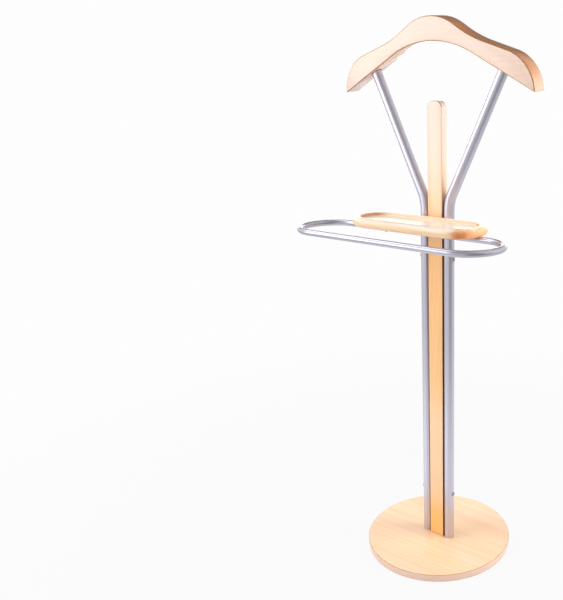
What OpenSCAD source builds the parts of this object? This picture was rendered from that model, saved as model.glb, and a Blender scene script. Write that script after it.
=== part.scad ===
// Clothes valet stand: a round wooden base carries a post made of a flat slat between two
// steel tubes. Above the post the tubes open into a V and end in sockets in a shaped jacket
// hanger. A tray with round ends is screwed to the front of the post, and a trouser bar, one
// closed loop of thin tube, hangs under the tray.
// Millimetres. +Z is up, +X runs along the hanger and -Y is the front. The origin is on the
// floor, under the middle of the base.

/* [Base] */
// Diameter of the base, with its edge band
base_d = 300; // [260:5:360]
// Thickness of the base board
board_t = 15; // [12:0.5:24]
// Thickness of the edge band
band_t = 1; // [0.5:0.1:2.5]
// Chamfer on the edges of the band
band_chamfer = 0.5; // [0.2:0.1:0.8]
// Thickness of the felt pads
pad_t = 2; // [1:0.5:4]
// Diameter of a felt pad
pad_d = 22; // [15:1:30]
// Distance from the rim of the base to the middle of a pad
pad_inset = 26; // [18:1:40]
// Number of pads
pad_count = 4; // [3:1:6]

/* [Post tubes] */
// Outer diameter of a tube
tube_d = 20; // [18:0.5:24]
// Wall of a tube
tube_wall = 1.2; // [0.8:0.1:2]
// Height at which the line of an arm meets the line of its tube
bend_h = 728; // [700:1:760]
// Sideways run of an arm of the V, which sets its slope with the rise below
arm_run = 117.5; // [95:0.5:135]
// Rise of an arm over that run
arm_rise = 241; // [225:0.5:255]
// Bend radius, at the middle of the tube
bend_r = 76; // [50:1:110]
// Gap between a tube and the slat
slat_gap = 0.5; // [0.2:0.1:2]

/* [Slat] */
// Width of the slat
slat_w = 33; // [28:0.5:40]
// Thickness of the slat
slat_t = 16; // [14:0.5:18]
// Height of the top of the slat
slat_top = 907; // [860:1:940]
// Radius of the two top corners of the slat
slat_corner_r = 14; // [4:0.5:14]
// Rounding of the long edges of the slat
slat_edge_r = 1.2; // [0.5:0.1:3]

/* [Hanger] */
// Width over the shoulder tips
hanger_w = 411; // [380:1:440]
// Thickness from front to back
hanger_t = 34; // [30:0.5:38]
// Height of the middle of its top, before it is tilted
hanger_top = 1049.5; // [1020:0.5:1080]
// Forward tilt of the hanger
hanger_tilt = 5; // [0:0.5:6]
// Height of the hanger in the middle, from the arch to the top
hanger_rib = 41.3; // [36:0.1:50]
// Radius of the hump in the middle
hump_r = 92.5; // [80:0.5:110]
// Steepest slope beside the hump
hump_slope = 35; // [30:0.5:38]
// Radius of the hollow beside the hump
neck_r = 219; // [180:1:250]
// Slope of the shoulders
shoulder_slope = 18.4; // [15:0.1:20]
// Radius of the shoulder ends
shoulder_r = 71.5; // [55:0.5:80]
// Radius of the arch in the underside
arch_r = 180; // [150:1:210]
// Slope of the straight underside of the shoulders
under_slope = 28.2; // [26:0.1:30]
// Depth of the tube sockets
socket_depth = 22; // [15:0.5:26]

/* [Tray] */
// Length of the tray
tray_l = 280; // [220:1:320]
// Width of the tray, front to back
tray_w = 104; // [90:1:120]
// Thickness of the tray
tray_t = 18; // [16:0.5:24]
// Height of the top of the tray
tray_top = 700; // [640:1:705]
// Radius of the rounded outer edges
tray_edge_r = 8; // [3:0.5:8]
// Width of the rim round the recess
rim_w = 14; // [12:0.5:18]
// Rounding of the inner edge of that rim
rim_edge_r = 2; // [0.5:0.5:3]
// Depth of the recess
recess_depth = 6; // [4:0.5:8]
// Radius between the wall and the floor of the recess
cove_r = 2.5; // [1:0.5:4]
// Gap between the back of the tray and the front of the slat
tray_gap = 0.5; // [0.3:0.1:1.5]

/* [Trouser bar] */
// Length of the loop
bar_l = 433; // [360:1:480]
// Width of the loop, front to back
bar_w = 129; // [100:1:160]
// Outer diameter of the bar
bar_d = 11.5; // [8:0.5:14]
// Wall of the bar
bar_wall = 1; // [0.7:0.1:1.5]
// Distance of the rear leg in front of the middle of the tray
bar_lead = 6; // [0:0.5:12]
// Depth to which that leg is let into the underside of the tray
bar_sink = 3; // [1:0.5:4]
// Distance of each fixing screw from the middle
bar_screw_x = 70; // [40:1:90]
// Gap where the two ends of the bar meet
bar_joint = 0.4; // [0.2:0.1:1]
// Length of the pin inside that joint
spigot_l = 40; // [20:1:60]

/* [Fasteners] */
// Height of the lower cross bolt
lower_bolt_h = 120; // [80:1:200]
// Height of the upper cross bolt
upper_bolt_h = 620; // [560:1:640]
// Diameter of the cross bolts
cross_d = 5; // [4:0.5:6]
// Diameter of the barrel of the sleeve nuts
sleeve_d = 7; // [6.5:0.5:8]
// Length of the barrel, with its head
sleeve_l = 26; // [22:0.5:32]
// Diameter of the raised heads of the bolts and sleeve nuts
cross_head_d = 9.5; // [8.5:0.5:11]
// Height of the dome on those heads
dome_h = 1.4; // [0.8:0.1:2]
// Diameter of the bolts in the base
base_bolt_d = 6; // [5:0.5:8]
// Diameter of the heads of those bolts
base_head_d = 12; // [10:0.5:13]
// Height of the heads of those bolts
base_head_h = 4; // [3:0.5:5]
// Outer diameter of the base washers
washer_d = 16; // [14:0.5:18]
// Thickness of the base washers
washer_t = 1.2; // [0.8:0.1:2]
// Length of the threaded plugs
plug_l = 25; // [15:1:40]
// Diameter of the screws under the slat
slat_screw_d = 4; // [3:0.5:5]
// Depth of those screws in the slat
slat_screw_in = 32; // [20:1:50]
// Distance of each of those screws from the middle
slat_screw_x = 8.5; // [7:0.5:10]
// Diameter of the tray screws
tray_screw_d = 4; // [3:0.5:5]
// Depth of the tray screws in the tray
tray_screw_in = 24; // [15:1:35]
// Diameter of the heads of the tray screws
tray_head_d = 8; // [7:0.5:9]
// Diameter of the screws in the trouser bar
bar_screw_d = 3.5; // [2.5:0.5:4]
// Depth of those screws in the tray
bar_screw_in = 6; // [4:0.5:6.5]
// Diameter of the heads of those screws
bar_head_d = 6.5; // [5:0.5:7]
// Diameter of the hanger screws
hanger_screw_d = 3.5; // [2.5:0.5:4]
// Length of the hanger screws
hanger_screw_l = 13; // [11:0.5:20]
// Clearance of a pin, bolt or tube in its hole, on the diameter
fit = 0.1; // [0.05:0.05:0.3]

/* [Hidden] */
$fn = 96;
// Heights of the underside and the top of the base board
board_z = pad_t;
base_top = board_z + board_t;
// Distance of the axis of each tube from the middle
tube_x = slat_w / 2 + slat_gap + tube_d / 2;
// Angle between an arm and the upright, and height and middle of the bend
arm_angle = atan(arm_run / arm_rise);
bend_z = bend_h - bend_r * tan(arm_angle / 2);
bend_x = tube_x + bend_r;
// Where the straight arm starts
arm_x0 = bend_x - bend_r * cos(arm_angle);
arm_z0 = bend_z + bend_r * sin(arm_angle);

// Hanger outline, right half, in X and Z from the middle of its top. Each arc is wider by
// "blend" than its tangents ask for, so that neighbouring lines cross instead of just touching.
blend = 0.02;
hump_c = [0, -hump_r];
hump_end = hump_c + (hump_r - blend) * outward(hump_slope);
neck_c = hump_end + (neck_r - blend) * outward(hump_slope);
neck_end = neck_c - (neck_r - blend) * outward(shoulder_slope);
shoulder_x = hanger_w / 2 - shoulder_r;
shoulder_c = [shoulder_x, neck_end[1] - (shoulder_x - neck_end[0]) * tan(shoulder_slope)
    - (shoulder_r - blend) / cos(shoulder_slope)];
shoulder_start = shoulder_c + (shoulder_r - blend) * outward(shoulder_slope);
arch_c = [0, -hanger_rib - arch_r];
arch_end = arch_c + (arch_r - blend) * outward(under_slope);

// Where the axis of an arm meets the underside of the hanger, measured along the arm
socket_s = (hanger_top + arch_end[1] - (arm_x0 - arch_end[0]) * tan(under_slope) - arm_z0)
    / (cos(arm_angle) + sin(arm_angle) * tan(under_slope));
arm_l = socket_s + socket_depth;
// Distance along the arm of the screw in the socket, and the place on the axis of the arm
hanger_screw_s = socket_s + socket_depth / 2;
hanger_screw_x = arm_x0 + hanger_screw_s * sin(arm_angle);
hanger_screw_z = arm_z0 + hanger_screw_s * cos(arm_angle);

// Tray
tray_z = tray_top - tray_t;
tray_y = -(slat_t / 2 + tray_gap + tray_w / 2);
tray_straight = tray_l - tray_w;
floor_t = tray_t - recess_depth;
tray_screw_z = tray_z + floor_t / 2;

// Trouser bar: the rear leg lies in a groove under the tray
bar_z = tray_z + bar_sink - bar_d / 2;
bar_turn_r = (bar_w - bar_d) / 2;
bar_rear_y = tray_y - bar_lead;
bar_y = bar_rear_y - bar_turn_r;
bar_straight = bar_l - bar_w;
bar_bore_d = bar_d - 2 * bar_wall;

// Heads
head_cone_h = (cross_head_d - cross_d) / 2;
head_rim = 0.3;
slot_w = 1.3;
slot_depth = 1.1;
pan_h = 2.4;
pan_rim = 0.9;
recess_w = 0.9;

beech = [0.90, 0.73, 0.52];
beech_edge = [0.85, 0.66, 0.46];
silver = [0.74, 0.73, 0.78];
steel = [0.80, 0.80, 0.82];
felt = [0.35, 0.33, 0.31];

// ---- Helpers -------------------------------------------------------------------------

// Repeats its children, mirrored, on the left and the right
module both_sides() {
    children();
    mirror([1, 0, 0]) children();
}

// Repeats its children at the height of both cross bolts
module at_cross_bolts() {
    translate([0, 0, lower_bolt_h]) children();
    translate([0, 0, upper_bolt_h]) children();
}

// Direction square to a surface that falls away to the right at the given slope
function outward(slope) = [sin(slope), cos(slope)];

// Mirror image of a point of the hanger outline
function flip(p) = [-p[0], p[1]];

// Rectangle with rounded corners, centred
module rounded_rect(width, depth, radius) {
    square([width - 2 * radius, depth], center = true);
    square([width, depth - 2 * radius], center = true);
    for (sx = [-1, 1], sy = [-1, 1])
        translate([sx * (width / 2 - radius), sy * (depth / 2 - radius)]) circle(radius);
}

// Moves its children to the middle of the bend, with the bend in their XY plane, from the X axis on
module at_bend() {
    translate([bend_x, 0, bend_z]) rotate([90, 0, 180]) children();
}

// Moves its children to a place along the right-hand arm, with Z along the arm and Y to the back
module on_arm(distance) {
    at_bend() rotate([0, 0, arm_angle]) translate([bend_r, 0, 0]) rotate([-90, 180, 0])
        translate([0, 0, distance]) children();
}

// Moves its children to the right-hand hanger screw, on the axis of the arm and tilted as the hanger
module at_hanger_screw() {
    translate([hanger_screw_x, 0, hanger_screw_z]) rotate([hanger_tilt, 0, 0]) children();
}

// Round bar along the right-hand tube: post, bend and arm, longer at both ends by "extra"
module tube_run(diameter, extra) {
    translate([tube_x, 0, base_top - extra]) cylinder(d = diameter, h = bend_z - base_top + extra);
    at_bend() intersection() {
        rotate_extrude() translate([bend_r, 0]) circle(d = diameter);
        translate([0, 0, -diameter]) cube([2 * bend_r, 2 * bend_r, 2 * diameter]);
        rotate([0, 0, arm_angle]) translate([0, -2 * bend_r, -diameter])
            cube([2 * bend_r, 2 * bend_r, 2 * diameter]);
    }
    on_arm(0) cylinder(d = diameter, h = arm_l + extra);
}

// Solid with round ends that has its children, a section right of X = 0, all round
module stadium(straight) {
    for (sx = [-1, 1]) translate([sx * straight / 2, 0, 0]) rotate_extrude() children();
    rotate([90, 0, 90]) translate([0, 0, -straight / 2]) linear_extrude(straight) {
        children();
        mirror([1, 0]) children();
    }
}

// Half section of a domed head: its height, and that of its straight rim
module dome_section(head_d, height, rim) {
    rise = height - rim;
    radius = (head_d ^ 2 / 4 + rise ^ 2) / (2 * rise);
    intersection() {
        translate([0, height - radius]) circle(radius);
        square([head_d / 2, height]);
    }
}

// Raised countersunk head with a slot, its rim at height 0, on a stem that points down
module raised_head(stem_d, stem_l, slot_turn) {
    difference() {
        rotate_extrude() {
            polygon([[0, -head_cone_h], [cross_d / 2, -head_cone_h], [cross_head_d / 2, 0], [0, 0]]);
            dome_section(cross_head_d, dome_h, head_rim);
            translate([0, -stem_l]) square([stem_d / 2, stem_l - head_cone_h / 2]);
        }
        rotate([0, 0, slot_turn]) translate([0, 0, dome_h])
            cube([cross_head_d + 1, slot_w, 2 * slot_depth], center = true);
    }
}

// Cross-shaped recess in a screw head, from height 0 upwards
module cross_recess(size, depth) {
    for (turn = [0, 90])
        rotate([0, 0, turn]) cube([size, recess_w, 2 * depth], center = true);
}

// Countersunk wood screw that points up, its head flush at height 0
module countersunk_screw(shank_d, length) {
    difference() {
        rotate_extrude()
            polygon([[0, 0], [shank_d, 0], [shank_d / 2, shank_d / 2],
                [shank_d / 2, length - shank_d], [0, length]]);
        cross_recess(1.1 * shank_d, 0.3 * shank_d);
    }
}

// Pan-head wood screw that points up, the underside of its head at height 0
module pan_screw(shank_d, head_d, length) {
    difference() {
        rotate_extrude() {
            mirror([0, 1]) dome_section(head_d, pan_h, pan_rim);
            polygon([[0, -pan_rim / 2], [shank_d / 2, -pan_rim / 2],
                [shank_d / 2, length - shank_d], [0, length]]);
        }
        translate([0, 0, -pan_h]) cross_recess(0.6 * head_d, pan_h / 2);
    }
}

// ---- Base ----------------------------------------------------------------------------

module base_board() {
    color(beech) difference() {
        translate([0, 0, board_z]) cylinder(d = base_d - 2 * band_t, h = board_t);
        both_sides() {
            translate([tube_x, 0, board_z - 1]) cylinder(d = base_bolt_d + 0.5, h = board_t + 2);
            translate([tube_x, 0, board_z - 1])
                cylinder(d = washer_d + 1, h = base_head_h + washer_t + 1.5);
            translate([slat_screw_x, 0, board_z]) slat_screw_hole();
        }
    }
}

// Hole for a slat screw, with its countersink in the underside of the board
module slat_screw_hole() {
    translate([0, 0, -1]) cylinder(d = slat_screw_d + fit, h = board_t + slat_screw_in + 1);
    translate([0, 0, -fit]) cylinder(r1 = slat_screw_d + fit, r2 = 0, h = slat_screw_d + fit);
}

module base_edge_band() {
    color(beech_edge) translate([0, 0, board_z]) rotate_extrude() translate([base_d / 2, 0])
        polygon([[-band_t, 0], [-band_chamfer, 0], [0, band_chamfer],
            [0, board_t - band_chamfer], [-band_chamfer, board_t], [-band_t, board_t]]);
}

module base_pads() {
    color(felt) for (i = [0 : pad_count - 1])
        rotate([0, 0, 45 + i * 360 / pad_count]) translate([base_d / 2 - pad_inset, 0, 0])
            cylinder(d = pad_d, h = pad_t);
}

module base_bolts() {
    seat = board_z + base_head_h + 0.5;
    color(steel) both_sides() translate([tube_x, 0, seat]) difference() {
        union() {
            translate([0, 0, -base_head_h]) cylinder(d = base_head_d, h = base_head_h);
            cylinder(d = base_bolt_d, h = base_top - seat + plug_l - 4);
        }
        translate([0, 0, -base_head_h - 1]) cylinder(d = base_bolt_d - 2, h = base_head_h, $fn = 6);
    }
}

module base_washers() {
    color(steel) both_sides() translate([tube_x, 0, board_z + base_head_h + 0.5]) difference() {
        cylinder(d = washer_d, h = washer_t);
        translate([0, 0, -1]) cylinder(d = base_bolt_d + 0.4, h = washer_t + 2);
    }
}

// ---- Post ----------------------------------------------------------------------------

module tube_plugs() {
    color(steel) both_sides() translate([tube_x, 0, base_top]) difference() {
        cylinder(d = tube_d - 2 * tube_wall, h = plug_l);
        translate([0, 0, -1]) cylinder(d = base_bolt_d, h = plug_l + 2);
    }
}

// Right-hand tube, with the given diameter of the cross bolt holes
module bent_tube(cross_hole_d) {
    difference() {
        tube_run(tube_d, 0);
        tube_run(tube_d - 2 * tube_wall, 1);
        at_cross_bolts() rotate([0, 90, 0]) cylinder(d = cross_hole_d, h = tube_x + tube_d);
        at_cross_bolts() translate([tube_x + tube_d / 2, 0, 0]) rotate([0, 90, 0]) head_seat();
        translate([tube_x, 0, tray_screw_z]) rotate([90, 0, 0])
            cylinder(d = tray_screw_d + fit, h = 2 * tube_d, center = true);
        at_hanger_screw() rotate([-90, 0, 0]) cylinder(d = hanger_screw_d + fit, h = tube_d);
    }
}

// Countersink for a raised head whose rim is at height 0, cut to above the tube
module head_seat() {
    depth = head_cone_h + fit + 1;
    translate([0, 0, 1 - depth]) cylinder(d1 = cross_d, d2 = cross_d + 2 * depth, h = depth);
}

module left_tube() {
    color(silver) mirror([1, 0, 0]) bent_tube(cross_d + fit);
}

module right_tube() {
    color(silver) bent_tube(sleeve_d + fit);
}

module centre_slat() {
    height = slat_top - base_top;
    color(beech) difference() {
        intersection() {
            translate([0, 0, base_top]) linear_extrude(height)
                rounded_rect(slat_w, slat_t, slat_edge_r);
            translate([0, slat_t, base_top]) rotate([90, 0, 0]) linear_extrude(2 * slat_t)
                slat_face(height);
        }
        at_cross_bolts() rotate([0, 90, 0])
            cylinder(d = sleeve_d + fit, h = slat_w + 2, center = true);
        both_sides() translate([slat_screw_x, 0, board_z]) slat_screw_hole();
    }
}

// Front view of the slat
module slat_face(height) {
    translate([-slat_w / 2, 0]) square([slat_w, height - slat_corner_r]);
    translate([-slat_w / 2 + slat_corner_r, 0])
        square([slat_w - 2 * slat_corner_r, height]);
    for (sx = [-1, 1])
        translate([sx * (slat_w / 2 - slat_corner_r), height - slat_corner_r])
            circle(slat_corner_r);
}

module slat_screws() {
    color(steel) both_sides() translate([slat_screw_x, 0, board_z])
        countersunk_screw(slat_screw_d, board_t + slat_screw_in);
}

module cross_bolts() {
    reach = tube_x + tube_d / 2;
    color(steel) at_cross_bolts() translate([-reach, 0, 0]) rotate([0, -90, 0])
        raised_head(cross_d, 2 * reach - sleeve_l / 2, 20);
}

module sleeve_nuts() {
    reach = tube_x + tube_d / 2;
    color(steel) at_cross_bolts() difference() {
        translate([reach, 0, 0]) rotate([0, 90, 0]) raised_head(sleeve_d, sleeve_l, 35);
        translate([reach - sleeve_l - 1, 0, 0]) rotate([0, 90, 0])
            cylinder(d = cross_d, h = sleeve_l / 2 + 2);
    }
}

// ---- Hanger --------------------------------------------------------------------------

// Front view of the hanger, from the middle of its top
module hanger_face() {
    difference() {
        union() {
            polygon([shoulder_c, shoulder_start, neck_end, hump_end,
                flip(hump_end), flip(neck_end), flip(shoulder_start), flip(shoulder_c)]);
            translate(hump_c) circle(hump_r);
            for (c = [shoulder_c, flip(shoulder_c)]) translate(c) circle(shoulder_r);
        }
        for (c = [neck_c, flip(neck_c)]) translate(c) circle(neck_r);
        translate(arch_c) circle(arch_r);
        underside();
    }
}

// Everything below the straight parts of the hanger's underside
module underside() {
    reach = hanger_w;
    under_z = arch_end[1] - (reach - arch_end[0]) * tan(under_slope);
    polygon([arch_end, flip(arch_end), [-reach, under_z], [-reach, -2 * hanger_w],
        [reach, -2 * hanger_w], [reach, under_z]]);
}

module hanger() {
    color(beech) difference() {
        translate([0, 0, hanger_screw_z]) rotate([hanger_tilt, 0, 0])
            translate([0, hanger_t / 2, hanger_top - hanger_screw_z]) rotate([90, 0, 0])
                linear_extrude(hanger_t) hanger_face();
        both_sides() {
            on_arm(socket_s - tube_d) cylinder(d = tube_d + fit, h = tube_d + socket_depth);
            at_hanger_screw() translate([0, hanger_t / 2, 0]) rotate([90, 0, 0])
                hanger_screw_hole();
        }
    }
}

// Hole for a hanger screw, from the back of the hanger into the socket
module hanger_screw_hole() {
    translate([0, 0, -1]) cylinder(d = hanger_screw_d + fit, h = hanger_t / 2);
    translate([0, 0, -fit])
        cylinder(r1 = hanger_screw_d + fit, r2 = 0, h = hanger_screw_d + fit);
}

module hanger_screws() {
    color(steel) both_sides() at_hanger_screw() translate([0, hanger_t / 2, 0])
        rotate([90, 0, 0]) countersunk_screw(hanger_screw_d, hanger_screw_l);
}

// ---- Tray ----------------------------------------------------------------------------

// Half section of the tray without its recess
module tray_section() {
    square([tray_w / 2 - tray_edge_r, tray_t]);
    translate([0, tray_edge_r]) square([tray_w / 2, tray_t - 2 * tray_edge_r]);
    for (z = [tray_edge_r, tray_t - tray_edge_r])
        translate([tray_w / 2 - tray_edge_r, z]) circle(tray_edge_r);
}

// Half section of the recess, wider over the rounded inner edge of the rim
module recess_section() {
    reach = tray_w / 2 - rim_w;
    translate([0, floor_t]) square([reach - cove_r, recess_depth + 1]);
    translate([0, floor_t + cove_r]) square([reach, recess_depth]);
    translate([reach - cove_r, floor_t + cove_r]) circle(cove_r);
    difference() {
        translate([reach - 1, tray_t - rim_edge_r]) square([rim_edge_r + 1, rim_edge_r + 1]);
        translate([reach + rim_edge_r, tray_t - rim_edge_r]) circle(rim_edge_r + blend);
    }
}

module tray() {
    color(beech) difference() {
        translate([0, tray_y, tray_z]) stadium(tray_straight) tray_section();
        translate([0, tray_y, tray_z]) stadium(tray_straight) recess_section();
        translate([0, bar_rear_y, bar_z]) rotate([0, 90, 0])
            cylinder(d = bar_d + fit, h = tray_l + 2, center = true);
        both_sides() {
            translate([tube_x, 0, tray_z - 1]) cylinder(d = tube_d + fit, h = tray_t + 2);
            translate([tube_x, 0, tray_screw_z]) rotate([90, 0, 0])
                cylinder(d = tray_screw_d + fit, h = tube_d / 2 + tray_screw_in + fit);
            translate([bar_screw_x, bar_rear_y, bar_z])
                cylinder(d = bar_screw_d + fit, h = bar_d / 2 + bar_screw_in + fit);
        }
    }
}

module tray_screws() {
    color(steel) both_sides() translate([tube_x, tube_d / 2, tray_screw_z]) rotate([90, 0, 0])
        pan_screw(tray_screw_d, tray_head_d, tube_d + tray_screw_in);
}

// ---- Trouser bar ---------------------------------------------------------------------

// Loop of a round section, all the way round the bar
module bar_run(diameter) {
    translate([0, bar_y, bar_z]) {
        for (sx = [-1, 1])
            translate([sx * bar_straight / 2, 0, 0]) rotate([0, 0, -sx * 90])
                rotate_extrude(angle = 180) translate([bar_turn_r, 0]) circle(d = diameter);
        for (sy = [-1, 1])
            translate([0, sy * bar_turn_r, 0]) rotate([0, 90, 0])
                cylinder(d = diameter, h = bar_straight, center = true);
    }
}

module trouser_bar() {
    color(silver) difference() {
        bar_run(bar_d);
        bar_run(bar_bore_d);
        translate([0, bar_rear_y, bar_z]) cube([bar_joint, 2 * bar_d, 2 * bar_d], center = true);
        both_sides() translate([bar_screw_x, bar_rear_y, bar_z])
            cylinder(d = bar_screw_d + fit, h = 2 * bar_d, center = true);
    }
}

module bar_spigot() {
    color(steel) translate([0, bar_rear_y, bar_z]) rotate([0, 90, 0])
        cylinder(d = bar_bore_d, h = spigot_l, center = true);
}

module bar_screws() {
    color(steel) both_sides() translate([bar_screw_x, bar_rear_y, bar_z - bar_d / 2])
        pan_screw(bar_screw_d, bar_head_d, bar_d + bar_screw_in);
}

base_board();
base_edge_band();
base_pads();
base_bolts();
base_washers();
tube_plugs();
left_tube();
right_tube();
centre_slat();
slat_screws();
cross_bolts();
sleeve_nuts();
hanger();
hanger_screws();
tray();
tray_screws();
trouser_bar();
bar_spigot();
bar_screws();
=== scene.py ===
import math

import bmesh
import bpy
from mathutils import Matrix, Vector

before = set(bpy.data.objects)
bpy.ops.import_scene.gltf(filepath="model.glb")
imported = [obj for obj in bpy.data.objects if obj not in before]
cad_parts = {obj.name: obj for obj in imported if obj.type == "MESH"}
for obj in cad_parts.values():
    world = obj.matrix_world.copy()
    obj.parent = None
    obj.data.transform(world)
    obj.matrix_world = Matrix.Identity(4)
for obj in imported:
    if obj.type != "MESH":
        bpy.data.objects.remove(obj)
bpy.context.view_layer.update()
scene = bpy.context.scene

# All lengths are in metres and all angles written as numbers are in degrees, except the camera's.

# ---- Camera ---------------------------------------------------------------------------

# fitted to the photograph's outlines of the base, post, tray, bar and hanger; yaw, pitch and
# roll in radians, the lens in millimetres on a film of FILM_WIDTH
CAM_PLACE = (0.80350, -1.11267, 0.92238)
CAM_YAW, CAM_PITCH, CAM_ROLL = 0.6129, 0.2969, -0.0013
CAM_LENS = 43.944
CAM_SHIFT = (-0.27523, 0.02628)
FILM_WIDTH = 36.0
CLIP_NEAR, CLIP_FAR = 0.05, 60.0


def make_camera():
    sy, cy = math.sin(CAM_YAW), math.cos(CAM_YAW)
    sp, cp = math.sin(CAM_PITCH), math.cos(CAM_PITCH)
    sr, cr = math.sin(CAM_ROLL), math.cos(CAM_ROLL)
    ahead = Vector((-sy * cp, cy * cp, -sp))
    right = Vector((cy, sy, 0.0))
    up = right.cross(ahead)
    right, up = cr * right + sr * up, cr * up - sr * right
    data = bpy.data.cameras.new("camera")
    data.lens = CAM_LENS
    data.sensor_width = FILM_WIDTH
    data.shift_x, data.shift_y = CAM_SHIFT
    data.clip_start, data.clip_end = CLIP_NEAR, CLIP_FAR
    cam = bpy.data.objects.new("camera", data)
    scene.collection.objects.link(cam)
    cam.matrix_world = Matrix((
        (right.x, up.x, -ahead.x, CAM_PLACE[0]),
        (right.y, up.y, -ahead.y, CAM_PLACE[1]),
        (right.z, up.z, -ahead.z, CAM_PLACE[2]),
        (0.0, 0.0, 0.0, 1.0)))
    scene.camera = cam


# ---- Node trees -----------------------------------------------------------------------

def toned(colour, factor):
    """A colour times a number, or times one number for each channel."""
    factors = factor if isinstance(factor, tuple) else (factor,) * 3
    return tuple(c * k for c, k in zip(colour, factors))


class Tree:
    """Short way to write a material's or the world's nodes."""

    def __init__(self, tree):
        self.tree = tree
        self.tree.nodes.clear()

    def node(self, kind, props=None, **inputs):
        n = self.tree.nodes.new(kind)
        for key, value in (props or {}).items():
            setattr(n, key, value)
        self.feed(n, **inputs)
        return n

    def feed(self, n, **inputs):
        """Sets or links inputs, each by its name with _ for a space, or by its number as i0, i1."""
        for key, value in inputs.items():
            numbered = key[0] == "i" and key[1:].isdigit()
            socket = n.inputs[int(key[1:]) if numbered else key.replace("_", " ")]
            if isinstance(value, bpy.types.NodeSocket):
                self.tree.links.new(value, socket)
            elif isinstance(value, bpy.types.Node):
                self.tree.links.new(value.outputs[0], socket)
            else:
                socket.default_value = value

    def math(self, op, a, b=0.0, c=0.0):
        n = self.node("ShaderNodeMath", {"operation": op}, i0=a, i1=b)
        if op == "MULTIPLY_ADD":
            self.feed(n, i2=c)
        return n.outputs[0]

    def noise(self, vector, scale=1.0, detail=2.0, rough=0.5, distort=0.0):
        n = self.node("ShaderNodeTexNoise", {"noise_dimensions": "3D"}, Vector=vector,
                      Scale=scale, Detail=detail, Roughness=rough, Distortion=distort)
        return n.outputs["Fac"]

    def remap(self, value, a, b, c=0.0, d=1.0):
        """c where value is a or less, d where it is b or more, and a smooth step between."""
        n = self.node("ShaderNodeMapRange", {"interpolation_type": "SMOOTHSTEP"},
                      i0=value, i1=a, i2=b, i3=c, i4=d)
        return n.outputs[0]

    def swing(self, value, size, start):
        """start, moved by up to half of size as a 0 to 1 value goes from end to end."""
        return self.math("MULTIPLY_ADD", self.math("SUBTRACT", value, 0.5), size, start)

    def ramp(self, value, stops, tone=1.0):
        n = self.node("ShaderNodeValToRGB", i0=value)
        r = n.color_ramp
        while len(r.elements) < len(stops):
            r.elements.new(0.5)
        for e, (place, colour) in zip(r.elements, stops):
            e.position = place
            e.color = (*toned(colour, tone), 1.0)
        return n.outputs[0]

    def mix(self, fac, a, b, blend="MIX"):
        n = self.node("ShaderNodeMix", {"data_type": "RGBA", "blend_type": blend})
        a, b = ((*c, 1.0) if isinstance(c, tuple) else c for c in (a, b))
        self.feed(n, i0=fac, i6=a, i7=b)
        return n.outputs[2]

    def tint(self, fac, colour, tint):
        """The colour multiplied by a tint, as far as fac says."""
        return self.mix(fac, colour, self.mix(1.0, colour, tint, "MULTIPLY"))

    def stretched(self, scale, place=(0, 0, 0), vector=None):
        """Coordinates scaled along each axis and moved. They are the object's own, or vector."""
        if vector is None:
            vector = self.node("ShaderNodeTexCoord").outputs["Object"]
        n = self.node("ShaderNodeMapping", Vector=vector, Location=place, Scale=scale)
        return n.outputs[0]

    def axes(self, coordinate):
        """X, Y and Z of a texture coordinate, such as Object or Normal."""
        vector = self.node("ShaderNodeTexCoord").outputs[coordinate]
        return self.node("ShaderNodeSeparateXYZ", Vector=vector).outputs

    def bump(self, height, strength, distance):
        return self.node("ShaderNodeBump", Strength=strength, Distance=distance, Height=height)


def new_material(name):
    m = bpy.data.materials.new(name)
    m.use_nodes = True
    t = Tree(m.node_tree)
    out = t.node("ShaderNodeOutputMaterial")
    shader = t.node("ShaderNodeBsdfPrincipled")
    t.tree.links.new(shader.outputs[0], out.inputs[0])
    return m, t, shader


# ---- Materials ------------------------------------------------------------------------

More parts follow.
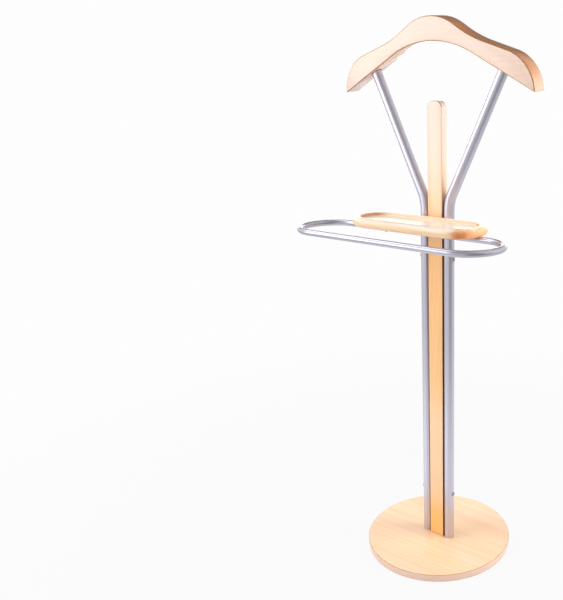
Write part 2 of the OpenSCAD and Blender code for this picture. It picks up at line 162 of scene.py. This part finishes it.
def beech(name, grain, seed, pale, deep, pith=(0.03, -0.08), ring=0.009, figure=1.0,
          lacquer=0.9, coat=0.18, fades=(), painted_top_tint=None, ends=None, streaks=0.5, painted_nook_shade=None):
    """Lacquered beech, between a pale and a deep tone, with its grain along X or Z.

    seed     moves every pattern, so that each piece is cut from another place
    pith     how far off the middle of the log lies, across and down
    ring     width of a growth ring
    figure   how strong the grain is
    lacquer  weight of the clear coat, and coat its roughness
    fades    other tones, each as an axis, the four places on it where the tone starts, is
             full, starts to go and is gone, and the tone
    painted_top_tint  tint of the faces that look up: painted light where it is paler, painted shade
    where it is deeper
    ends     tint of the faces that cut across the grain; streaks says how far the grain
             breaks up the line where that tint starts
    painted_nook_shade  painted shade on the faces that look left or right, full below a first
    height and gone above a second
    """
    m, t, s = new_material(name)
    place = t.axes("Object")
    along, wide, deep_in = (place[i] for i in ((0, 1, 2) if grain == "X" else (2, 0, 1)))
    line = t.node("ShaderNodeCombineXYZ", X=along, Y=wide, Z=deep_in).outputs[0]

    def wood(lengthwise, crosswise, shift):
        return t.stretched((lengthwise, crosswise, crosswise),
                           (seed + shift, 0.37 * seed + shift, 1.7 * seed), line)

    # growth rings, seen as long lines that wander a little and aren't quite along the piece
    wander_wide, wander_deep, taper = 0.05, 0.014, 0.02
    wander = t.noise(wood(3.0, 12, 0.0), detail=3)
    across = t.math("SUBTRACT", t.math("MULTIPLY_ADD", wander, wander_wide, wide),
                    pith[0] + wander_wide / 2)
    down = t.math("SUBTRACT", t.math("MULTIPLY_ADD", wander, wander_deep, deep_in), pith[1])
    radius = t.math("SQRT", t.math("ADD", t.math("MULTIPLY", across, across),
                                   t.math("MULTIPLY", down, down)))
    radius = t.math("MULTIPLY_ADD", along, taper, radius)
    rings = t.math("FRACT", t.math("DIVIDE", radius, ring))
    # late wood darkens slowly over a ring and ends at once
    late = t.math("MULTIPLY", t.remap(rings, 0.30, 0.92), t.remap(rings, 0.92, 1.0, 1.0, 0.0))

    # broad tone, streaks, fibres and the short dark flecks of beech
    broad = t.noise(wood(2.0, 17, 3.1), detail=2)
    bands = t.noise(wood(3.5, 70, 7.7), detail=3, rough=0.6)
    fine = t.noise(wood(12, 330, 1.3), detail=2, rough=0.6)
    fleck = t.remap(t.noise(wood(230, 1300, 9.4), detail=1), 0.66, 0.76)

    value = 0.5
    for pattern, contrast in ((broad, 0.75), (bands, 0.55), (fine, 0.45)):
        value = t.swing(pattern, contrast * figure, value)
    value = t.math("MULTIPLY_ADD", late, -0.24 * figure, value)
    middle = tuple((a + b) / 2 for a, b in zip(pale, deep))
    dark = toned(deep, (0.86, 0.78, 0.68))
    colour = t.ramp(value, [(0.0, dark), (0.25, deep), (0.52, middle), (0.80, pale)])
    pink = t.remap(t.noise(wood(1.6, 30, 12.9), detail=2), 0.35, 0.65)
    colour = t.tint(pink, colour, (1.0, 0.97, 1.06))

    # tones that depend on where a point is and where its face looks, in part painted light and
    # shade
    fade_share = 0.75
    for axis, start, full, going, gone, tone in fades:
        at = place["XYZ".index(axis)]
        share = t.math("MULTIPLY", t.remap(at, start, full), t.remap(at, going, gone, 1.0, 0.0))
        colour = t.mix(share, colour, t.mix(fade_share, colour, tone))
    facing = t.axes("Normal")
    # painted light and shade on the faces that look up
    if painted_top_tint:
        colour = t.tint(t.remap(facing[2], 0.15, 0.65), colour, painted_top_tint)
    if ends:
        cut = t.math("ABSOLUTE", facing["XYZ".index(grain)])
        colour = t.tint(t.remap(t.swing(bands, streaks, cut), 0.30, 0.75), colour, ends)
    # painted shade on the side faces, full below one height and gone above another
    if painted_nook_shade:
        tint, low, high = painted_nook_shade
        side = t.remap(t.math("ABSOLUTE", facing[0]), 0.60, 0.95)
        below = t.remap(place[2], low, high, 1.0, 0.0)
        colour = t.tint(t.math("MULTIPLY", side, below), colour, tint)
    colour = t.mix(t.math("MULTIPLY", fleck, 0.22 * figure), colour, toned(dark, 0.6))

    t.feed(s, Base_Color=colour, Roughness=t.swing(fine, 0.10, 0.38),
           Coat_Weight=lacquer, Coat_Roughness=coat)
    height = t.math("MULTIPLY_ADD", fleck, -0.7, fine)
    t.feed(s, Normal=t.bump(height, 0.06, 0.0003))
    return m


def arris(name, colour=(0.50, 0.24, 0.09)):
    """A dark tone for the rounded edges of a beech piece."""
    m, t, s = new_material(name)
    mottle = t.noise(t.stretched((90, 90, 90)), detail=3)
    fine = t.noise(t.stretched((900, 900, 900)), detail=2)
    stops = [(0.2, toned(colour, 0.75)), (0.55, colour), (0.9, toned(colour, 1.5))]
    t.feed(s, Base_Color=t.ramp(t.swing(mottle, 0.9, fine), stops),
           Roughness=t.math("MULTIPLY_ADD", fine, 0.12, 0.36),
           Coat_Weight=0.4, Coat_Roughness=0.15, Normal=t.bump(fine, 0.1, 0.0003))
    return m


def silver_paint(name, shift, tone):
    """Satin silver paint on steel: fine flakes, a little orange peel, and faint handling marks.
    shift moves its patterns, so that no two tubes match, and tone below 1 is darker."""
    m, t, s = new_material(name)
    flakes = t.node("ShaderNodeTexVoronoi", {"feature": "F1"},
                    Vector=t.stretched((1, 1, 1)), Scale=3000.0)
    speck = t.node("ShaderNodeSeparateColor", Color=flakes.outputs["Color"]).outputs[0]
    peel = t.noise(t.stretched((1, 1, 1), (shift, 0, 0)), 300.0, 1)
    cloud = t.noise(t.stretched((9, 9, 3), (shift, 1, 2)), detail=4, rough=0.6)
    marks = t.noise(t.stretched((130, 130, 12), (shift, 3, 1)), detail=4, rough=0.7)
    rub = t.remap(marks, 0.60, 0.74)
    value = t.swing(cloud, 0.35, t.swing(speck, 0.12, 0.5))
    colour = t.ramp(value, [(0.1, (0.56, 0.535, 0.630)), (0.5, (0.62, 0.598, 0.690)),
                            (0.9, (0.68, 0.66, 0.745))], tone)
    colour = t.mix(t.math("MULTIPLY", rub, 0.15), colour, (0.52, 0.50, 0.55))
    rough = t.swing(cloud, 0.05, 0.31)
    t.feed(s, Base_Color=colour, Metallic=0.9,
           Roughness=t.math("MULTIPLY_ADD", rub, 0.05, rough),
           Coat_Weight=0.15, Coat_Roughness=0.12)
    height = t.math("MULTIPLY_ADD", speck, 0.15, peel)
    t.feed(s, Normal=t.bump(height, 0.03, 0.0001))
    return m


def zinc(name, tone=1.0):
    """Zinc plated steel, finely speckled and stained; tone below 1 is duller."""
    m, t, s = new_material(name)
    spots = t.noise(t.stretched((700, 700, 700)), detail=3, rough=0.6)
    stain = t.noise(t.stretched((120, 120, 120), (4, 2, 1)), detail=3)
    stops = [(0.15, (0.42, 0.42, 0.44)), (0.5, (0.64, 0.64, 0.67)), (0.85, (0.78, 0.78, 0.80))]
    t.feed(s, Base_Color=t.ramp(t.swing(stain, 0.8, spots), stops, tone), Metallic=1.0,
           Roughness=t.math("MULTIPLY_ADD", spots, 0.18, 0.18),
           Normal=t.bump(spots, 0.15, 0.0002))
    return m


def felt(name):
    """Dark wool felt: fine hairs over soft tufts."""
    m, t, s = new_material(name)
    hair = t.noise(t.stretched((1, 1, 1)), 1900.0, 4, 0.7, 1.5)
    tuft = t.noise(t.stretched((1, 1, 1), (3, 1, 2)), 260.0, 3)
    value = t.swing(tuft, 0.7, hair)
    stops = [(0.25, (0.035, 0.030, 0.026)), (0.5, (0.075, 0.066, 0.058)),
             (0.8, (0.15, 0.135, 0.12))]
    t.feed(s, Base_Color=t.ramp(value, stops), Roughness=0.95, Sheen_Weight=0.35,
           Sheen_Roughness=0.6, Normal=t.bump(value, 0.6, 0.0006))
    return m


# ---- Shapes ---------------------------------------------------------------------------

WELD = 2e-6          # vertices closer than this are one
SHADE_SHARP = 34     # edges sharper than this stay sharp in the shading
BEVEL_SHARP = 38     # edges sharper than this get a bevel


def smooth_group():
    """Modifier that shades smooth and keeps edges sharper than SHADE_SHARP."""
    g = bpy.data.node_groups.new("smooth_by_angle", "GeometryNodeTree")
    g.interface.new_socket("Geometry", in_out="INPUT", socket_type="NodeSocketGeometry")
    g.interface.new_socket("Geometry", in_out="OUTPUT", socket_type="NodeSocketGeometry")
    start, end = g.nodes.new("NodeGroupInput"), g.nodes.new("NodeGroupOutput")
    faces = g.nodes.new("GeometryNodeSetShadeSmooth")
    edges = g.nodes.new("GeometryNodeSetShadeSmooth")
    edges.domain = "EDGE"
    edges.inputs["Shade Smooth"].default_value = False
    angle = g.nodes.new("GeometryNodeInputMeshEdgeAngle")
    more = g.nodes.new("FunctionNodeCompare")
    more.data_type, more.operation = "FLOAT", "GREATER_THAN"
    more.inputs[1].default_value = math.radians(SHADE_SHARP)
    link = g.links.new
    link(start.outputs[0], faces.inputs["Geometry"])
    link(faces.outputs[0], edges.inputs["Geometry"])
    link(angle.outputs[0], more.inputs[0])
    link(more.outputs[0], edges.inputs["Selection"])
    link(edges.outputs[0], end.inputs[0])
    return g


SMOOTH = smooth_group()


def dress(name, material, edge=None, bevel=0.0, dissolve=0.6):
    """Gives a CAD node its material, smooth shading and, where bevel isn't 0, rounded arrises,
    of the edge material if there is one. Faces that turn less than dissolve are joined first."""
    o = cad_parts[name]
    o.data.materials.clear()
    o.data.materials.append(material)
    if edge:
        o.data.materials.append(edge)
    if o.data.has_custom_normals:
        o.data.attributes.remove(o.data.attributes["custom_normal"])
    weld = o.modifiers.new("weld", "WELD")
    weld.merge_threshold = WELD
    if dissolve:
        flat = o.modifiers.new("flat", "DECIMATE")
        flat.decimate_type = "DISSOLVE"
        flat.angle_limit = math.radians(dissolve)
    if bevel:
        b = o.modifiers.new("bevel", "BEVEL")
        b.width = bevel
        b.segments = 3
        b.limit_method = "ANGLE"
        b.angle_limit = math.radians(BEVEL_SHARP)
        b.miter_outer = "MITER_ARC"
        b.use_clamp_overlap = False
        b.material = 1 if edge else -1
    o.modifiers.new("smooth", "NODES").node_group = SMOOTH


# ---- Stage ----------------------------------------------------------------------------

WHITE = 0.985                      # the background that the camera sees
KEY_AZIMUTH = -127                 # where the key lamp stands
DARK_LEFT = (-68, -50)             # azimuths over which the dark side starts
DARK_RIGHT = (-36, 36)             # and over which it ends
DARK = 0.30                        # its level in reflections
CEILING_GAP = 130                  # azimuth of the part of the ceiling that is dark
FLOOR_HALF = 20.0


def around(azimuth, distance, height):
    """Point at an azimuth, counted anticlockwise from +X, seen from above."""
    a = math.radians(azimuth)
    return (distance * math.cos(a), distance * math.sin(a), height)


def softbox(name, place, target, size, radiance):
    """Rectangular soft lamp. Its radiance, not its power, is what shows in a reflection."""
    data = bpy.data.lights.new(name, "AREA")
    data.shape = "RECTANGLE"
    data.size, data.size_y = size
    data.energy = radiance * math.pi * size[0] * size[1]
    o = bpy.data.objects.new(name, data)
    scene.collection.objects.link(o)
    o.location = place
    o.rotation_mode = "QUATERNION"
    o.rotation_quaternion = (Vector(target) - Vector(place)).to_track_quat("-Z", "Y")
    o.visible_camera = False
    return o


def dark_side(t, x, y, low):
    """1 all round the stage, down to low on the side where the photographer's dark room opens."""
    azimuth = t.math("ARCTAN2", y, x)
    left = t.remap(azimuth, *map(math.radians, DARK_LEFT), 1.0, low)
    right = t.remap(azimuth, *map(math.radians, DARK_RIGHT), low, 1.0)
    return t.math("MAXIMUM", left, right)


def make_floor():
    """White for the camera, with the object's faint shadow. Reflections show a glow with painted
    shade, dimmer further out and on the dark side, and a painted pool of light in front of the key
    lamp."""
    mesh = bpy.data.meshes.new("floor")
    bm = bmesh.new()
    bmesh.ops.create_grid(bm, x_segments=8, y_segments=8, size=FLOOR_HALF)
    bm.to_mesh(mesh)
    bm.free()
    floor = bpy.data.objects.new("floor", mesh)
    scene.collection.objects.link(floor)
    m = bpy.data.materials.new("floor")
    m.use_nodes = True
    # a glow sampled as a lamp isn't told which rays are glossy, so it would miss the dark side
    m.cycles.emission_sampling = "NONE"
    t = Tree(m.node_tree)
    out = t.node("ShaderNodeOutputMaterial")
    paint = t.node("ShaderNodeBsdfDiffuse", Color=(0.42, 0.42, 0.42, 1))
    place = t.node("ShaderNodeTexCoord").outputs["Object"]
    parts = t.node("ShaderNodeSeparateXYZ", Vector=place)
    reach = t.node("ShaderNodeVectorMath", {"operation": "LENGTH"}, i0=place).outputs["Value"]
    path = t.node("ShaderNodeLightPath")
    other = t.math("MAXIMUM", path.outputs["Is Glossy Ray"],
                   path.outputs["Is Transmission Ray"])
    seen = t.math("MAXIMUM", path.outputs["Is Camera Ray"], other)
    # painted shade in reflections: dimmer further out and on the dark side
    dim = t.math("MULTIPLY", other, t.remap(reach, 0.2, 1.7))
    side = dark_side(t, parts.outputs[0], parts.outputs[1], DARK)
    side = t.math("MULTIPLY", side, 0.72)
    strength = t.math("MULTIPLY_ADD", dim, t.math("SUBTRACT", side, 1.0), 1.0)
    # a painted pool of light in front of the key lamp, seen only in reflections
    patch = t.node("ShaderNodeVectorMath", {"operation": "DISTANCE"}, i0=place,
                   i1=around(KEY_AZIMUTH, 0.55, 0)).outputs["Value"]
    patch = t.math("MULTIPLY", path.outputs["Is Glossy Ray"],
                   t.remap(patch, 0.15, 0.45, 0.4, 0.0))
    strength = t.math("ADD", strength, patch)
    glow = t.node("ShaderNodeEmission", Color=(WHITE, WHITE, WHITE, 1), Strength=strength)
    # the paint's small share near the object is what takes its shadow
    share = t.remap(reach, 0.3, 1.6, 0.95, 1.0)
    both = t.node("ShaderNodeMixShader", i0=t.math("MULTIPLY", seen, share),
                  i1=paint.outputs[0], i2=glow.outputs[0])
    t.tree.links.new(both.outputs[0], out.inputs[0])
    mesh.materials.append(m)


def make_world():
    """A pale studio: white for the camera, and in reflections bright round the horizon, dimmer
    overhead, and dark on the photographer's side. The light it gives is soft and low."""
    world = bpy.data.worlds.new("studio")
    scene.world = world
    world.use_nodes = True
    t = Tree(world.node_tree)
    out = t.node("ShaderNodeOutputWorld")
    x, y, height = t.axes("Generated")[:3]

    # what a reflection shows: the horizon, and the ceiling with its dark part
    horizon = dark_side(t, x, y, DARK)
    away = t.math("SUBTRACT", t.math("ARCTAN2", y, x), math.radians(CEILING_GAP))
    away = t.math("ABSOLUTE", away)
    gap = t.remap(away, math.radians(22), math.radians(48), 1.0, 0.0)
    ceiling = t.remap(y, -0.75, 0.10, 0.30, 0.85)
    ceiling = t.math("MULTIPLY_ADD", gap, t.math("SUBTRACT", 0.10, ceiling), ceiling)
    lift = t.math("MULTIPLY_ADD", gap, 0.14, height)
    gloss = t.math("MULTIPLY_ADD", t.remap(lift, 0.28, 0.46),
                   t.math("SUBTRACT", ceiling, horizon), horizon)

    # what it gives as light
    soft = t.math("MULTIPLY", dark_side(t, x, y, 0.80), t.remap(height, 0.0, 0.50, 0.62, 0.15))

    path = t.node("ShaderNodeLightPath")
    level = t.math("MULTIPLY_ADD", path.outputs["Is Glossy Ray"],
                   t.math("SUBTRACT", gloss, soft), soft)
    seen = t.math("MAXIMUM", path.outputs["Is Camera Ray"],
                  path.outputs["Is Transmission Ray"])
    level = t.math("MULTIPLY_ADD", seen, t.math("SUBTRACT", WHITE, level), level)
    back = t.node("ShaderNodeBackground", Color=(1, 1, 1, 1), Strength=level)
    t.tree.links.new(back.outputs[0], out.inputs[0])


def make_lamps():
    """Lamps by name, place, target, size and radiance. The first three show in the lacquer and
    the tubes, with the key low in front on the left. The others only fill: they don't show, and
    most hang or stand below the hanger, whose top stays in shade."""
    key = around(KEY_AZIMUTH, 1.8, 1.08), (0, 0, 1.08), (1.1, 1.1)
    high = (-0.85, -0.34, 1.70), (0, -0.10, 0.69), (0.9, 0.9)
    softbox("key", *key, 2.3)
    softbox("high", *high, 1.9)
    softbox("back", around(126, 2.0, 0.90), (0, 0, 0.90), (2.4, 0.9), 1.6)
    fill = [
        softbox("key_fill", *key, 4.6),
        softbox("high_fill", *high, 1.7),
        softbox("side", around(28, 1.8, 0.85), (0, 0, 0.85), (1.4, 0.7), 6.0),
        softbox("tip", (1.15, 0.50, 1.0), (0.1, 0, 0.97), (0.6, 0.5), 7.0),
        softbox("front", around(-54, 1.8, 0.30), (0, 0, 0.30), (1.2, 0.5), 4.4),
        softbox("over_left", (-0.55, -0.12, 0.86), (-0.55, -0.12, 0.0), (0.6, 0.6), 2.2),
        softbox("over_right", (0.55, 0.05, 0.86), (0.55, 0.05, 0.0), (0.6, 0.6), 3.3)]
    for lamp in fill:
        lamp.visible_glossy = False


# ---- Build ----------------------------------------------------------------------------

make_camera()
make_floor()
make_world()
make_lamps()

EDGE = arris("beech_arris")
STEEL = zinc("fastener_zinc")
DULL = zinc("bolt_zinc", 0.62)
BOARD = beech(
    "base_beech", "X", 3.0, pale=(0.94, 0.665, 0.435), deep=(0.81, 0.505, 0.27),
    pith=(0.05, -0.09), ring=0.010, figure=0.6, coat=0.30)
BAND = beech(
    "base_band_beech", "X", 5.0, pale=(0.91, 0.66, 0.51), deep=(0.80, 0.52, 0.37), figure=0.4)
# tones along its height, partly its own and partly painted light: a painted sheen pales it above
# the tray, it is paler low down and deeper near the base, and painted shade darkens its sides where
# the tubes cover them
SLAT = beech(
    "slat_beech", "Z", 7.0, pale=(0.93, 0.57, 0.26), deep=(0.85, 0.46, 0.17),
    pith=(0.06, -0.05), ring=0.007, figure=0.6,
    fades=(("Z", 0.64, 0.88, 2.0, 3.0, (0.92, 0.72, 0.64)),
           ("Z", 0.06, 0.12, 0.26, 0.38, (0.94, 0.63, 0.39)),
           ("Z", -1.0, -0.5, 0.05, 0.11, (0.92, 0.50, 0.13))),
    painted_nook_shade=((0.22, 0.15, 0.12), 0.70, 0.76))
# darker on the faces that look up: partly the edge grain's own deeper tone, partly painted shade
HANGER = beech(
    "hanger_beech", "X", 11.0, pale=(0.95, 0.73, 0.61), deep=(0.87, 0.62, 0.49),
    pith=(0.02, 0.93), ring=0.008, figure=0.45,
    painted_top_tint=(0.85, 0.53, 0.28), ends=(0.97, 0.80, 0.62))
# orange at its right end, partly its own figure and partly painted shade; deeper behind its front
# rim; and paler where a face looks up, as a painted highlight
TRAY = beech(
    "tray_beech", "X", 17.0, pale=(0.99, 0.79, 0.54), deep=(0.84, 0.53, 0.27),
    pith=(-0.05, 0.62), ring=0.008, figure=0.8, lacquer=0.5, coat=0.25,
    fades=(("X", 0.098, 0.120, 2.0, 3.0, (0.62, 0.22, 0.02)),
           ("Y", -0.100, -0.084, 2.0, 3.0, (0.98, 0.68, 0.42))),
    painted_top_tint=(1.0, 1.22, 1.57), ends=(0.84, 0.55, 0.41), streaks=1.2)

dress("base_board", BOARD, dissolve=0.3)
dress("base_edge_band", BAND, EDGE, 0.0004)
dress("base_pads", felt("pad_felt"), bevel=0.0004)
for fixing in ("base_bolts", "base_washers", "tube_plugs", "slat_screws", "hanger_screws",
               "tray_screws", "bar_spigot", "bar_screws"):
    dress(fixing, STEEL)
for fixing in ("cross_bolts", "sleeve_nuts"):
    dress(fixing, DULL)
# the trouser bar takes a darker copy of the paint, tone 0.82, as painted shade for its darker
# reflections
for tube, shift, tone in (("left_tube", 1.0, 1.0), ("right_tube", 2.0, 1.0),
                          ("trouser_bar", 3.0, 0.82)):
    dress(tube, silver_paint(tube + "_silver", shift, tone), dissolve=0)
dress("centre_slat", SLAT, arris("slat_arris", (0.20, 0.085, 0.04)), 0.0007)
dress("hanger", HANGER, EDGE, 0.0016)
dress("tray", TRAY, EDGE)

scene.view_settings.view_transform = "Standard"
